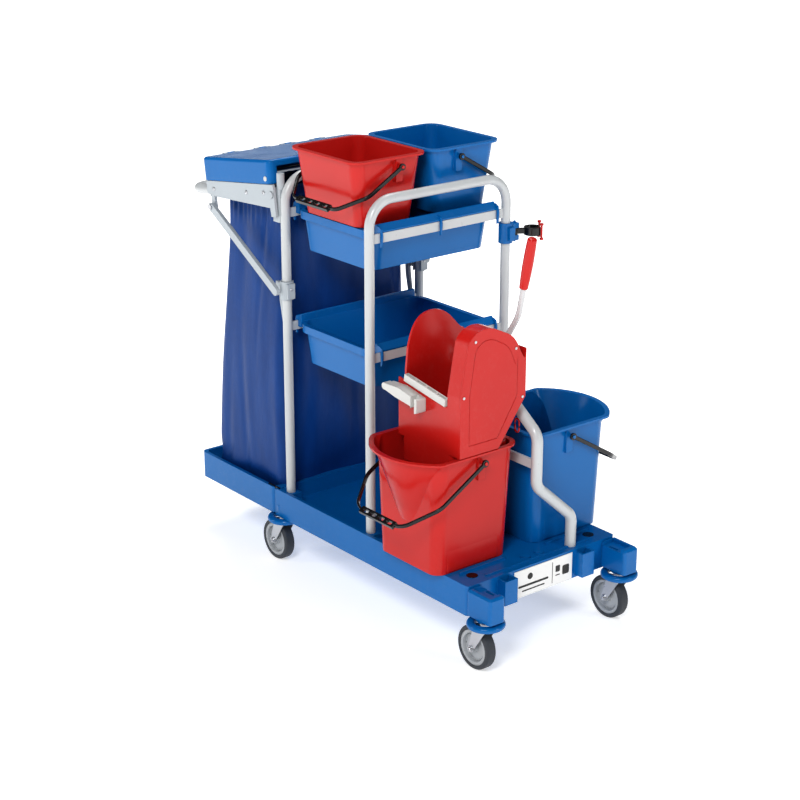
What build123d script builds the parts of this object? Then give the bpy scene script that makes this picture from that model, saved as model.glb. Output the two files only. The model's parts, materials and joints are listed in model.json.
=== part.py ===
from build123d import *
import os
from math import atan2, cos, degrees, hypot, radians, sin

# Housekeeping cart with bag holder, two trays, four buckets and a mop press.
# Millimetres. +X is the direction of travel, +Y the cart's left, +Z up; the
# origin is on the floor under the middle of the cart.

# ---------------------------------------------------------------- dimensions
FRONT = 486.0            # front face of the platform
PLATFORM_HALF = 217.0    # half the platform's width
FLOOR_UNDER = 121.0      # underside of the platform
RIM_TOP = 190.0          # top of the platform's rim and front deck
WELL_FLOOR = 150.0       # floor of the recessed well and of the bag tray
SEAM = FRONT - 703.0     # joint between the platform and the bag tray
REAR_END = FRONT - 1020.0
SKIN = 5.0               # moulded wall thickness of the platform
RIM_WALL = 9.0

FRONT_ARCH_X = FRONT - 359.0
REAR_ARCH_X = FRONT - 666.0
LEG_Y = 195.5
TUBE_R = 11.0
TUBE_BORE = 9.4
ARCH_TOP = 948.0
ARCH_BEND = 60.0
LEG_FOOT = 134.0
RAIL_HEIGHT = 21.0
RAIL_THICK = 4.0
UPPER_RAIL_Z = 865.0
LOWER_RAIL_Z = 597.0

WHEEL_R = 50.0
TYRE_INNER = 40.0
TREAD_WIDTH = 25.0
CASTOR_TRAIL = 28.0
CASTOR_Y = 198.0
FRONT_CASTOR_X = FRONT + 38.0
REAR_CASTOR_X = FRONT - 690.0
FORK_PLATE_Z = 101.5
STEM_R = 6.0
AXLE_R = 4.0
RUN = 0.05               # radial running clearance of pins and shafts
GAP = 0.5                # space left between pieces that move

TRAY_MID_X = (FRONT_ARCH_X + REAR_ARCH_X) / 2
TRAY_RIM_HALF_X = 141.0
TRAY_RIM_HALF_Y = 181.0
TRAY_DEPTH = 92.0

SMALL_RIM_X = 246.0
SMALL_RIM_Y = 208.0
SMALL_CENTRE_Y = 106.5
SMALL_TOP = 1026.0
SMALL_BAIL_Z = SMALL_TOP - 22.0
SMALL_BAIL_OUT = -22.0   # bail pivot, measured outwards from the bucket's middle
SMALL_BAIL_REACH = 166.0
SMALL_BAIL_DROOP = 30.0  # degrees that a resting bail hangs below level

BIG_X0 = FRONT - 296.0
BIG_X1 = FRONT - 56.0
BIG_INNER_Y = 19.0
BIG_LIP_Y = 303.0
BIG_TOP = 453.0
BIG_WALL = 3.2
BIG_FOOT_Y0 = 36.0
BIG_FOOT_Y1 = 240.0
BIG_FLAT_Y = 246.0       # outer long wall, before the pouring bulge
BULGE_TIP = 292.0        # height at which the bulge runs out
BIG_BAIL_Y = 128.0
BIG_BAIL_Z = 432.0
BIG_BAIL_REACH = 222.0
BIG_BAIL_DROOP = 31.0
BAIL_SHOULDER = 0.64     # share of the reach over which the arms run straight
BAIL_CLEAR = 5.5         # rim edge to the middle of a bail arm
BAIL_THICK = 5.0
PIN_OUT = 19.0           # bail pin, measured from the bucket's end wall
SMALL_PIN_R = 3.5
BIG_PIN_R = 4.0

PIVOT_X = FRONT - 690.0  # bag holder's fold axis
PIVOT_Z = 905.0
HOLDER_TILT = 8.0        # degrees that the push handle's end hangs lower
HOLDER_FOLD = 72.0       # degrees of the fold
LID_LENGTH = 278.0
LID_HALF = 216.0
LID_HEIGHT = 54.0
HANDLE_R = 12.5
HANDLE_REACH = 354.0
LID_KNUCKLES = (-128, -38, 38, 128)
LID_AXIS_X = -LID_LENGTH - 6.0
LID_AXIS_Z = 24.0 + LID_HEIGHT - 4.0
HANDLE_Y = 202.0
BAG_TOP = 855.0
LINK_S = 244.0           # link pin, measured along and below the holder
LINK_H = -37.0
COLLAR_PIN_X = REAR_ARCH_X - 6.0
COLLAR_Z = 685.0
LATCH_X = REAR_ARCH_X - 33.0
LATCH_Z = COLLAR_Z - 10.0
LATCH_PIN_R = 2.5

# The folding linkage: link pin and strut at rest and folded, and the collar's travel.
TILT = radians(HOLDER_TILT)
LINK_X = PIVOT_X - LINK_S * cos(TILT) - LINK_H * sin(TILT)
LINK_Z = PIVOT_Z - LINK_S * sin(TILT) + LINK_H * cos(TILT)
STRUT_LENGTH = hypot(COLLAR_PIN_X - LINK_X, LINK_Z - COLLAR_Z)
FOLDED = radians(HOLDER_TILT + HOLDER_FOLD)
FOLDED_LINK_X = PIVOT_X - LINK_S * cos(FOLDED) - LINK_H * sin(FOLDED)
FOLDED_LINK_Z = PIVOT_Z - LINK_S * sin(FOLDED) + LINK_H * cos(FOLDED)
STRUT_REST = atan2(COLLAR_Z - LINK_Z, COLLAR_PIN_X - LINK_X)
FOLDED_DROP = (STRUT_LENGTH ** 2 - (COLLAR_PIN_X - FOLDED_LINK_X) ** 2) ** 0.5
COLLAR_TRAVEL = COLLAR_Z - (FOLDED_LINK_Z - FOLDED_DROP)
STRUT_FOLDED = atan2(-FOLDED_DROP, COLLAR_PIN_X - FOLDED_LINK_X)

PRESS_X0 = FRONT - 262.0
PRESS_X1 = FRONT - 58.0
PRESS_Y0 = -193.0
PRESS_Y1 = -11.0
HOUSING_X = FRONT - 100.0
PRESS_FLOOR = 400.0
PRESS_STEP = BIG_TOP + 0.6
SHAFT_X = FRONT - 165.0
SHAFT_Z = 615.0
JAW_PIVOT_X = FRONT - 250.2
JAW_PIVOT_Z = 425.0
JAW_SWING = 16.0         # degrees of each member of the press linkage
LEVER_SWING = 65.0
LINK_SWING = -15.48
LINK_PIN_X = JAW_PIVOT_X + 12.0
LINK_PIN_Z = JAW_PIVOT_Z + 171.0
CRANK = 45.0
CRANK_TILT = 20.0        # degrees the crank leans back at rest
CRANK_END_X = SHAFT_X - CRANK * sin(radians(CRANK_TILT))
CRANK_END_Z = SHAFT_Z + CRANK * cos(radians(CRANK_TILT))
SHAFT_R = 7.0
CHANNEL_X = PRESS_X0 + 22.0
CHANNEL_Z = 580.8
CHANNEL_DROP = 21.7
CHANNEL_BAYS = 4
STAND_R = 12.5
STAND_Y = 3.0
STAND_FOOT_Y = 101.0

CLIP_Z = 818.0
CLIP_TURN = 32.0         # degrees the clip arm points forward of straight out
CLIP_MOUTH_R = 12.0
CLIP_OUT = 27.0

os.makedirs("parts", exist_ok=True)


# ------------------------------------------------------------------- helpers
def save(name, *pieces):
    """Write one node, holding one solid or a group of separate solids."""
    shape = pieces[0] if len(pieces) == 1 else Compound(children=list(pieces))
    export_step(shape, f"parts/{name}.step")


def block(x0, x1, y0, y1, z0, z1):
    """Rectangular block between two corners, given in any order."""
    size = (abs(x1 - x0), abs(y1 - y0), abs(z1 - z0))
    return Pos((x0 + x1) / 2, (y0 + y1) / 2, (z0 + z1) / 2) * Box(*size)


def slab(x0, x1, y0, y1, z0, z1, r):
    """Block with rounded vertical edges."""
    outline = RectangleRounded(x1 - x0, abs(y1 - y0), r)
    return Pos((x0 + x1) / 2, (y0 + y1) / 2, z0) * extrude(outline, z1 - z0)


def rod(start, end, r):
    """Round bar between two points."""
    a = Vector(*start)
    b = Vector(*end)
    return extrude(Plane(origin=a, z_dir=b - a) * Circle(r), (b - a).length)


def bent_tube(points, bend, r, bore=0.0):
    """Tube along straight runs joined by arcs."""
    path = FilletPolyline(*points, radius=bend)
    section = Circle(r)
    if bore:
        section = section - Circle(bore)
    return sweep(Plane(origin=path @ 0, z_dir=path % 0) * section, path=path)


def tub(base, top, z0, z1, wall, r_base, r_top):
    """Open tapered tub; base and top are (centre x, centre y, size x, size y)."""
    def solid(inset, low):
        lower = Pos(base[0], base[1], low) * RectangleRounded(
            base[2] - 2 * inset, base[3] - 2 * inset, r_base - inset)
        upper = Pos(top[0], top[1], z1) * RectangleRounded(
            top[2] - 2 * inset, top[3] - 2 * inset, r_top - inset)
        return loft([lower, upper])
    return solid(0, z0) - solid(wall, z0 + wall)


def across(profile, y0, y1):
    """Extrude a profile drawn in X and Z along Y."""
    return Pos(0, max(y0, y1), 0) * extrude(Plane.XZ * profile, abs(y1 - y0))


def facing(profile, x0, x1):
    """Extrude a profile drawn in Y and Z along X."""
    return Pos(x0, 0, 0) * extrude(Plane.YZ * profile, x1 - x0)


def mirrored(shape):
    """The same piece on the cart's other side."""
    return mirror(shape, about=Plane.XZ)


def sided(shape, side):
    """A piece drawn on the cart's right, put on the side asked for."""
    return shape if side < 0 else mirrored(shape)

SIDES = {"right": -1, "left": 1}


# ------------------------------------------------------------------ platform
def castor_boss(x, y, z0, z1):
    """Solid round boss that a castor stem is driven into."""
    return Pos(x, y, z0) * extrude(Circle(20), z1 - z0)


def make_platform():
    rear = SEAM + GAP
    deck_rear = FRONT - 302.0
    body = slab(rear, FRONT, -PLATFORM_HALF, PLATFORM_HALF, FLOOR_UNDER, RIM_TOP, 8)
    inner = PLATFORM_HALF - RIM_WALL
    body -= slab(rear + RIM_WALL, deck_rear - RIM_WALL, -inner, inner, WELL_FLOOR, RIM_TOP, 10)
    body -= slab(rear + RIM_WALL, deck_rear, -inner, inner, FLOOR_UNDER, WELL_FLOOR - SKIN, 10)
    body -= slab(deck_rear + SKIN, FRONT - RIM_WALL, -inner, inner, FLOOR_UNDER, RIM_TOP - SKIN, 10)
    # Bosses that the four uprights stand in.
    for leg_x in (FRONT_ARCH_X, REAR_ARCH_X):
        for side in (-1, 1):
            body += block(leg_x - 20, leg_x + 20, side * PLATFORM_HALF, side * 178, FLOOR_UNDER, RIM_TOP - 2)
    # Castor housings at the front corners, with a recess and a slot on top.
    for side in (-1, 1):
        housing = slab(FRONT - 2, FRONT + 74, side * 219 if side < 0 else 176,
                       -176 if side < 0 else 219, 126, 186, 7)
        housing = chamfer(housing.edges().filter_by(Axis.Y).group_by(Axis.X)[-1].sort_by(Axis.Z)[-1], 5)
        housing -= block(FRONT + 6, FRONT + 60, side * 208, side * 176, 178, 190)
        housing -= block(FRONT + 20, FRONT + 46, side * 186, side * 180, 160, 190)
        body += housing
        body += castor_boss(FRONT_CASTOR_X, side * CASTOR_Y, FLOOR_UNDER, 130)
        body += castor_boss(REAR_CASTOR_X, side * CASTOR_Y, FLOOR_UNDER, WELL_FLOOR)
        body += block(rear, REAR_CASTOR_X + 20, side * PLATFORM_HALF, side * 178, FLOOR_UNDER, RIM_TOP - 2)
        body -= block(rear - 30, rear, side * 240, side * 160, FLOOR_UNDER - 1, RIM_TOP)
        body -= block(rear - 1, rear + 12.5, side * 208.5, side * 213, 172.5, RIM_TOP + 1)
    # Accessory pockets on the front face, open at the top and bottom.
    for side in (-1, 1):
        pocket = block(FRONT - 1, FRONT + 24, side * 96, side * 132, 128, 184)
        pocket -= block(FRONT, FRONT + 20, side * 101, side * 127, 120, 190)
        body += pocket
    # Raised front bead, deck bosses, locating ribs for the big buckets.
    body += block(FRONT - 22, FRONT - 16, -150, 150, RIM_TOP - 1, RIM_TOP + 3)
    for side in (-1, 1):
        body += Pos(FRONT - 36, side * 20, RIM_TOP - 1) * extrude(Circle(11), 5)
        body += block(FRONT - 60, FRONT - 56, side * 60, side * 190, RIM_TOP - 1, RIM_TOP + 5)
        body -= Pos(FRONT - 38, side * 172, RIM_TOP - SKIN - 1) * extrude(Circle(12.3), 10)
    # Bores for the uprights, the castor stems, the press stand and its bolts.
    for leg_x in (FRONT_ARCH_X, REAR_ARCH_X):
        for side in (-1, 1):
            body -= Pos(leg_x, side * LEG_Y, LEG_FOOT) * extrude(Circle(TUBE_R), 80)
    for castor_x in (FRONT_CASTOR_X, REAR_CASTOR_X):
        for side in (-1, 1):
            body -= Pos(castor_x, side * CASTOR_Y, 100) * extrude(Circle(STEM_R), 45)
    stand_x = FRONT - 22.0
    body += Pos(stand_x, STAND_FOOT_Y, 140) * extrude(Circle(19), RIM_TOP - 140)
    body -= Pos(stand_x, STAND_FOOT_Y, 146) * extrude(Circle(STAND_R), 60)
    return body


def make_bag_tray():
    rear = REAR_END
    body = slab(rear, SEAM, -PLATFORM_HALF, PLATFORM_HALF, FLOOR_UNDER + 3, RIM_TOP, 14)
    inner = PLATFORM_HALF - RIM_WALL
    body -= slab(rear + RIM_WALL, SEAM - RIM_WALL, -inner, inner, WELL_FLOOR, RIM_TOP + 1, 12)
    body -= slab(rear + RIM_WALL, SEAM - RIM_WALL, -inner, inner, FLOOR_UNDER, WELL_FLOOR - SKIN, 12)
    for side in (-1, 1):
        body -= block(SEAM - 33.5, SEAM + 1, side * 208.5, side * 213, 172.5, RIM_TOP + 1)
    return body


def make_deck_trim():
    """Plugs in the front deck and the catch tabs of the bag tray."""
    plugs = [Pos(FRONT - 38, s * 172, RIM_TOP - 4) * extrude(Circle(12.3), 5) for s in (-1, 1)]
    tabs = [block(SEAM - 33, SEAM + 12, s * 209, s * 212.5, 173, RIM_TOP + 2) for s in (-1, 1)]
    return plugs + tabs


def make_castor_bumpers():
    profile = Pos(33, 114.2) * RectangleRounded(18, 13.2, 6)
    ring = revolve(Plane.XZ * profile, Axis.Z)
    return [Pos(x, s * CASTOR_Y, 0) * ring for x in (FRONT_CASTOR_X, REAR_CASTOR_X) for s in (-1, 1)]


def make_castor_stems():
    stems = []
    for x in (FRONT_CASTOR_X, REAR_CASTOR_X):
        for side in (-1, 1):
            stem = Pos(x, side * CASTOR_Y, 98.4) * extrude(Circle(STEM_R), 46.6)
            stem += Pos(x, side * CASTOR_Y, 98.4) * extrude(Circle(8), 2.8)
            stem += Pos(x, side * CASTOR_Y, 106) * extrude(Circle(13), FLOOR_UNDER - 106)
            stems.append(stem)
    return stems


# -------------------------------------------------------------------- arches
def arch_tube(x, bore):
    """Upside-down U of tube, standing in the platform."""
    points = [(x, -LEG_Y, LEG_FOOT), (x, -LEG_Y, ARCH_TOP), (x, LEG_Y, ARCH_TOP), (x, LEG_Y, LEG_FOOT)]
    return bent_tube(points, ARCH_BEND, TUBE_R, bore)


def make_rails():
    rails = []
    for x in (FRONT_ARCH_X, REAR_ARCH_X):
        for z in (UPPER_RAIL_Z, LOWER_RAIL_Z):
            rail = block(x - RAIL_THICK / 2, x + RAIL_THICK / 2, -LEG_Y, LEG_Y,
                         z - RAIL_HEIGHT / 2, z + RAIL_HEIGHT / 2)
            for side in (-1, 1):
                rail -= Pos(x, side * LEG_Y, z - 20) * extrude(Circle(TUBE_R), 40)
            rails.append(rail)
    return rails


# --------------------------------------------------------------------- trays
def make_tray(rail_z):
    """Moulded tray that hangs on a front and a rear rail by hooks."""
    top = rail_z + RAIL_HEIGHT / 2 + GAP
    body_x = 2 * TRAY_RIM_HALF_X - 6
    body_y = 2 * TRAY_RIM_HALF_Y - 18
    tray = tub((TRAY_MID_X, 0, body_x - 34, body_y - 14), (TRAY_MID_X, 0, body_x, body_y),
               top - TRAY_DEPTH, top, 3, 26, 34)
    rim = Pos(TRAY_MID_X, 0, top - 3) * extrude(
        RectangleRounded(2 * TRAY_RIM_HALF_X, 2 * TRAY_RIM_HALF_Y, 38), 3)
    rim -= Pos(TRAY_MID_X, 0, top - 4) * extrude(RectangleRounded(body_x - 6, body_y - 6, 31), 6)
    apron = Pos(TRAY_MID_X, 0, top - 18) * extrude(
        RectangleRounded(2 * TRAY_RIM_HALF_X, 2 * TRAY_RIM_HALF_Y, 38)
        - RectangleRounded(2 * TRAY_RIM_HALF_X - 5, 2 * TRAY_RIM_HALF_Y - 5, 35.5), 18)
    tray += rim + apron
    half = (FRONT_ARCH_X - REAR_ARCH_X) / 2
    edge = TRAY_RIM_HALF_X - 1
    for end in (-1, 1):
        def at(reach, z):
            return (TRAY_MID_X + end * reach, z)
        lip = make_face(Polyline(at(edge - 4, top - 3), at(edge - 2, top + 15), at(edge + 2, top + 17),
                                 at(half + 4, top + 4), at(half + 3, top + 0.6), at(edge + 1, top + 11),
                                 at(edge + 1, top - 3), close=True))
        hook = make_face(Polyline(at(edge - 2, top - 14), at(edge - 2, top + 8), at(half - 4, top + 14),
                                  at(half + 6, top + 9), at(half + 9, top - 6), at(half + 7, top - 30),
                                  at(half + 3, top - 32), at(half + 2.7, top + 0.1), at(half - 2.7, top + 0.1),
                                  at(half - 2.7, top - 14), close=True))
        tray += across(lip, -168, 168)
        for y in (-166, 0, 166):
            tray += across(hook, y - 2, y + 2)
    return tray


# ------------------------------------------------------------------- buckets
def make_small_bucket(side):
    cy = side * SMALL_CENTRE_Y
    step = UPPER_RAIL_Z + RAIL_HEIGHT / 2 + 2.0
    floor = UPPER_RAIL_Z + RAIL_HEIGHT / 2 + GAP - TRAY_DEPTH + 4.0
    body_top = (TRAY_MID_X, cy, SMALL_RIM_X - 18, SMALL_RIM_Y - 18)
    body_low = (TRAY_MID_X, cy, SMALL_RIM_X - 42, SMALL_RIM_Y - 60)
    foot_top = (TRAY_MID_X, cy, SMALL_RIM_X - 62, SMALL_RIM_Y - 92)
    foot_low = (TRAY_MID_X, cy, SMALL_RIM_X - 70, SMALL_RIM_Y - 102)
    wall = 3.0

    def stage(low, high, z0, z1, inset):
        a = Pos(low[0], low[1], z0) * RectangleRounded(low[2] - 2 * inset, low[3] - 2 * inset, 22 - inset)
        b = Pos(high[0], high[1], z1) * RectangleRounded(high[2] - 2 * inset, high[3] - 2 * inset, 26 - inset)
        return loft([a, b])

    bucket = stage(body_low, body_top, step, SMALL_TOP, 0) + stage(foot_low, foot_top, floor, step + 1, 0)
    bucket -= stage(body_low, body_top, step + wall, SMALL_TOP, wall)
    bucket -= stage(foot_low, foot_top, floor + wall, step + wall + 1, wall)
    rim = Pos(TRAY_MID_X, cy, SMALL_TOP - 5) * extrude(
        RectangleRounded(SMALL_RIM_X, SMALL_RIM_Y, 32)
        - RectangleRounded(body_top[2] - 2 * wall, body_top[3] - 2 * wall, 23), 5)
    bucket += rim
    # Spring lugs that carry the bail, one in the middle of each end.
    for end in (-1, 1):
        face = TRAY_MID_X + end * (SMALL_RIM_X / 2 - 9)
        y = cy + side * SMALL_BAIL_OUT
        lug = block(face - end * 6, face + end * 5, y - 9, y + 9, SMALL_BAIL_Z - 34, SMALL_TOP - 4)
        bucket += lug - stage(body_low, body_top, step + wall, SMALL_TOP, wall)
        bucket += rod((face + end * 4, y, SMALL_BAIL_Z), (face + end * PIN_OUT, y, SMALL_BAIL_Z), SMALL_PIN_R)
    return bucket


def bulge_outline(half, flat, lip, r, inset):
    """Plan of the pouring bulge: straight inside the bucket, curved outwards."""
    mid = (BIG_X0 + BIG_X1) / 2
    half -= inset
    outline = make_face([
        Line((mid - half, flat - 60), (mid + half, flat - 60)),
        Line((mid + half, flat - 60), (mid + half, flat)),
        ThreePointArc((mid + half, flat), (mid, lip - inset), (mid - half, flat)),
        Line((mid - half, flat), (mid - half, flat - 60))])
    return fillet(outline.vertices().group_by(Axis.Y)[-1], r)


def big_shell(inset, low):
    """Tapered box of the bucket joined to the half cone of its bulge."""
    mid_x = (BIG_X0 + BIG_X1) / 2
    half_x = (BIG_X1 - BIG_X0) / 2
    foot_y = (BIG_FOOT_Y0 + BIG_FOOT_Y1) / 2
    top_y = (BIG_INNER_Y + 8 + BIG_FLAT_Y) / 2
    foot = Pos(mid_x, foot_y, low) * RectangleRounded(
        2 * (half_x - 20 - inset), BIG_FOOT_Y1 - BIG_FOOT_Y0 - 2 * inset, 26 - inset)
    top = Pos(mid_x, top_y, BIG_TOP) * RectangleRounded(
        2 * (half_x - 8 - inset), BIG_FLAT_Y - BIG_INNER_Y - 8 - 2 * inset, 30 - inset)
    cone = loft([Pos(0, 0, BULGE_TIP) * bulge_outline(34, BIG_FLAT_Y - 12, BIG_FLAT_Y - 2, 7, inset),
                 Pos(0, 0, BIG_TOP) * bulge_outline(half_x - 8, BIG_FLAT_Y - 8, BIG_LIP_Y - 8, 24, inset)])
    return loft([foot, top]) + cone


def make_big_bucket():
    """The big bucket on the cart's left; the right one is its mirror image."""
    base_z = RIM_TOP + GAP
    inside = big_shell(BIG_WALL, base_z + BIG_WALL)
    bucket = big_shell(0, base_z)
    mid_x = (BIG_X0 + BIG_X1) / 2
    half_x = (BIG_X1 - BIG_X0) / 2
    top_y = (BIG_INNER_Y + BIG_FLAT_Y + 8) / 2
    rim = Pos(mid_x, top_y, 0) * RectangleRounded(2 * half_x, BIG_FLAT_Y + 8 - BIG_INNER_Y, 37)
    rim += bulge_outline(half_x, BIG_FLAT_Y - 4, BIG_LIP_Y, 26, 0)
    bucket += Pos(0, 0, BIG_TOP - 5) * extrude(rim, 5)
    # Raised lower panels and the spring lugs of the bail.
    for face, out in ((BIG_X0 + 19, -1), (BIG_X1 - 19, 1)):
        bucket += block(face - out * 4, face + out * 1.4, BIG_FOOT_Y0 + 34, BIG_FOOT_Y1 - 30, base_z + 4, base_z + 58)
    for end, face in ((-1, BIG_X0 + 9), (1, BIG_X1 - 9)):
        bucket += block(face - end * 2, face + end * 4, BIG_BAIL_Y - 10, BIG_BAIL_Y + 10, BIG_BAIL_Z - 40, BIG_TOP - 4)
    bucket -= inside
    for end, face in ((-1, BIG_X0 + 9), (1, BIG_X1 - 9)):
        bucket += rod((face + end * 3, BIG_BAIL_Y, BIG_BAIL_Z), (face + end * PIN_OUT, BIG_BAIL_Y, BIG_BAIL_Z),
                      BIG_PIN_R)
    return bucket


def make_bail(mid, half, pivot_y, pivot_z, reach, droop, pin_r, side):
    """Bail hanging to the outside, in a plane tipped down by droop degrees."""
    path = FilletPolyline((-half, 0), (-half, BAIL_SHOULDER * reach), (-0.6 * half, reach),
                          (0.6 * half, reach), (half, BAIL_SHOULDER * reach), (half, 0), radius=0.2 * reach)
    start = Plane(origin=path @ 0, z_dir=path % 0)
    bar = sweep(start * RectangleRounded(BAIL_THICK, 9, 1.6), path=path)
    grip = Pos(0, reach, 0) * Box(0.9 * half, 16, 8)
    slots = [Pos(i * 0.21 * half, reach, 0) * extrude(SlotOverall(0.16 * half, 8), 12, both=True)
             for i in (-1.5, -0.5, 0.5, 1.5)]
    for slot in slots:
        grip -= slot
    bail = bar - Pos(0, reach, 0) * Box(0.9 * half - 4, 14, 9) + grip
    for end in (-1, 1):
        eye = Pos(end * half, 0, 0) * Rot(0, 90, 0) * Cylinder(pin_r + 4, BAIL_THICK)
        bail += eye
        bail -= Pos(end * half, 0, 0) * Rot(0, 90, 0) * Cylinder(pin_r + RUN, 9)
    tipped = Pos(mid, pivot_y, pivot_z) * Rot(-droop, 0, 0) * bail
    return tipped if side > 0 else mirrored(tipped)


# --------------------------------------------------------------------- press
def hood_profile(inset):
    """Outline of the press hood seen from the front, in Y and Z, drawn in by inset."""
    mid_y, mid_z = -102.0, 590.0
    k_y = 1 - inset / 91.0
    k_z = 1 - inset / (mid_z - PRESS_STEP)

    def at(y, z):
        return (mid_y + (y - mid_y) * k_y, mid_z + (z - mid_z) * k_z)

    crown = Spline(at(-175, 690), at(-156, 719), at(-120, 727), at(-76, 711), at(-39, 682), at(-14, 645),
                   at(-11, 600), tangents=[(0.15, 1), (0, -1)])
    side = Polyline(at(-11, 600), at(-11, 556), at(-24, 538), at(-85, PRESS_STEP), at(PRESS_Y0, PRESS_STEP),
                    at(PRESS_Y0, 588), at(-175, 690))
    return make_face([crown, side])


def jaw_profile():
    """Outline of the jaw seen from the front, in Y and Z."""
    crown = Spline((-178, 650), (-160, 697), (-142, 714), (-107, 721), (-64, 702), (-30, 668), (-18, 620),
                   tangents=[(0.3, 1), (0, -1)])
    return make_face([
        Line((-92, PRESS_STEP + 6), (-183, PRESS_STEP + 6)), Line((-183, PRESS_STEP + 6), (-183, 600)),
        Line((-183, 600), (-178, 650)), crown, Line((-18, 620), (-18, 562)),
        Line((-18, 562), (-92, PRESS_STEP + 6))])


def make_press_body():
    lower = slab(PRESS_X0 + 4, PRESS_X1 - 18, PRESS_Y0, PRESS_Y1 - 26, PRESS_FLOOR, PRESS_STEP + 3, 20)
    lower -= slab(PRESS_X0 + 8, PRESS_X1 - 22, PRESS_Y0 + 4, PRESS_Y1 - 30, PRESS_FLOOR + 4, PRESS_STEP + 4, 16)
    upper = facing(hood_profile(0), PRESS_X0, PRESS_X1 - 4)
    hollow = facing(hood_profile(4), PRESS_X0 - 1, HOUSING_X)
    hollow += facing(hood_profile(4), HOUSING_X + 4, PRESS_X1)
    upper -= hollow
    upper -= slab(PRESS_X0 + 8, PRESS_X1 - 22, PRESS_Y0 + 4, PRESS_Y1 - 30, PRESS_STEP - 1, PRESS_STEP + 5, 16)
    slope = make_face(Polyline((PRESS_X0 - 1, 584), (HOUSING_X, 558), (HOUSING_X, 800), (PRESS_X0 - 1, 800),
                               close=True))
    body = lower + (upper - across(slope, PRESS_Y0 - 5, PRESS_Y1 + 5))
    # Far side ear that carries the lever shaft.
    ear = Pos(SHAFT_X, PRESS_Y1 - 4, SHAFT_Z) * Rot(-90, 0, 0) * extrude(Circle(20), 4)
    ear += block(SHAFT_X - 20, HOUSING_X, PRESS_Y1 - 4, PRESS_Y1, 540, SHAFT_Z)
    body += ear
    body -= Pos(SHAFT_X, PRESS_Y1 - 10, SHAFT_Z) * Rot(-90, 0, 0) * extrude(Circle(SHAFT_R + RUN), 30)
    # Drain slots and the notch that clears the jaw's lower edge.
    for i in range(6):
        y = PRESS_Y0 + 24 + i * 21
        body -= block(PRESS_X0 + 40, PRESS_X1 - 40, y, y + 9, PRESS_FLOOR - 1, PRESS_FLOOR + 6)
    body -= block(PRESS_X0 - 2, PRESS_X0 + 9, PRESS_Y0 + 4, PRESS_Y1 - 4, PRESS_STEP - 1, 600)
    return body


def make_press_cover():
    panel = facing(hood_profile(0), PRESS_X1 - 3.99, PRESS_X1)
    groove = facing(hood_profile(24), PRESS_X1 - 0.8, PRESS_X1 + 1)
    groove -= facing(hood_profile(25.5), PRESS_X1 - 2, PRESS_X1 + 2)
    return panel - groove - make_press_screws()


def make_jaw():
    plate = facing(jaw_profile(), JAW_PIVOT_X - 3, JAW_PIVOT_X + 3)
    plate += block(JAW_PIVOT_X - 3, JAW_PIVOT_X + 3, PRESS_Y0 + 24, PRESS_Y1 - 86, JAW_PIVOT_Z, JAW_PIVOT_Z + 36)
    for y in (PRESS_Y0 + 40, (PRESS_Y0 + PRESS_Y1) / 2, PRESS_Y1 - 48):
        plate += block(JAW_PIVOT_X - 9, JAW_PIVOT_X - 2, y - 2, y + 2, 540, 660)
    return plate + rod((JAW_PIVOT_X, PRESS_Y0 + 24, JAW_PIVOT_Z), (JAW_PIVOT_X, PRESS_Y1 - 86, JAW_PIVOT_Z), 3.5)


def make_lever_tube():
    points = [(SHAFT_X, 0, SHAFT_Z), (FRONT - 97, 0, 722), (FRONT - 62, 0, 888)]
    tube = bent_tube(points, 90, 6.5)
    boss = rod((SHAFT_X, -8, SHAFT_Z), (SHAFT_X, 8, SHAFT_Z), 14)
    return tube + boss


def make_lever_grip():
    lean = (888 - 722) / 35.0
    low = Vector(FRONT - 97 + (786 - 722) / lean, 0, 786)
    high = Vector(FRONT - 97 + (905 - 722) / lean, 0, 905)
    axis = high - low
    outline = Plane(origin=low, z_dir=axis)
    length = axis.length
    grip = loft([outline * Circle(9.5), outline.offset(length * 0.6) * Circle(11.5),
                 outline.offset(length - 6) * Circle(10)])
    grip = fillet(grip.edges().sort_by(Axis.Z)[-1], 5)
    return grip - outline * extrude(Circle(6.6), length - 14)


def make_lever_shaft():
    shaft = rod((SHAFT_X, PRESS_Y1 - 10, SHAFT_Z), (SHAFT_X, -8, SHAFT_Z), SHAFT_R)
    mid = ((SHAFT_X + CRANK_END_X) / 2, (SHAFT_Z + CRANK_END_Z) / 2)
    arm = Pos(*mid) * Rot(0, 0, 90 + CRANK_TILT) * SlotCenterToCenter(CRANK, 17)
    return shaft + across(arm, PRESS_Y1 - 10, PRESS_Y1 - 5)


def make_press_link():
    a = (LINK_PIN_X, LINK_PIN_Z)
    b = (CRANK_END_X, CRANK_END_Z)
    angle = degrees(atan2(b[1] - a[1], b[0] - a[0]))
    length = hypot(b[0] - a[0], b[1] - a[1])
    bar = Pos((a[0] + b[0]) / 2, (a[1] + b[1]) / 2) * Rot(0, 0, angle) * SlotCenterToCenter(length, 14)
    link = across(bar, PRESS_Y1 - 17, PRESS_Y1 - 12)
    return link - rod((a[0], PRESS_Y1 - 30, a[1]), (a[0], PRESS_Y1, a[1]), 4 + RUN)


def make_jaw_knobs():
    x = LINK_PIN_X
    z = LINK_PIN_Z
    knob = rod((x, PRESS_Y1 - 32, z), (x, PRESS_Y1 - 18, z), 13)
    knob += rod((x, PRESS_Y1 - 20, z), (x, PRESS_Y1 - 11.5, z), 4)
    knob -= block(JAW_PIVOT_X - 10, JAW_PIVOT_X + 3, -60, 10, z - 30, z + 30)
    stop = slab(JAW_PIVOT_X + 3, JAW_PIVOT_X + 14, PRESS_Y1 - 46, PRESS_Y1 - 28, 548, 572, 4)
    return [knob, stop]


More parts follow.
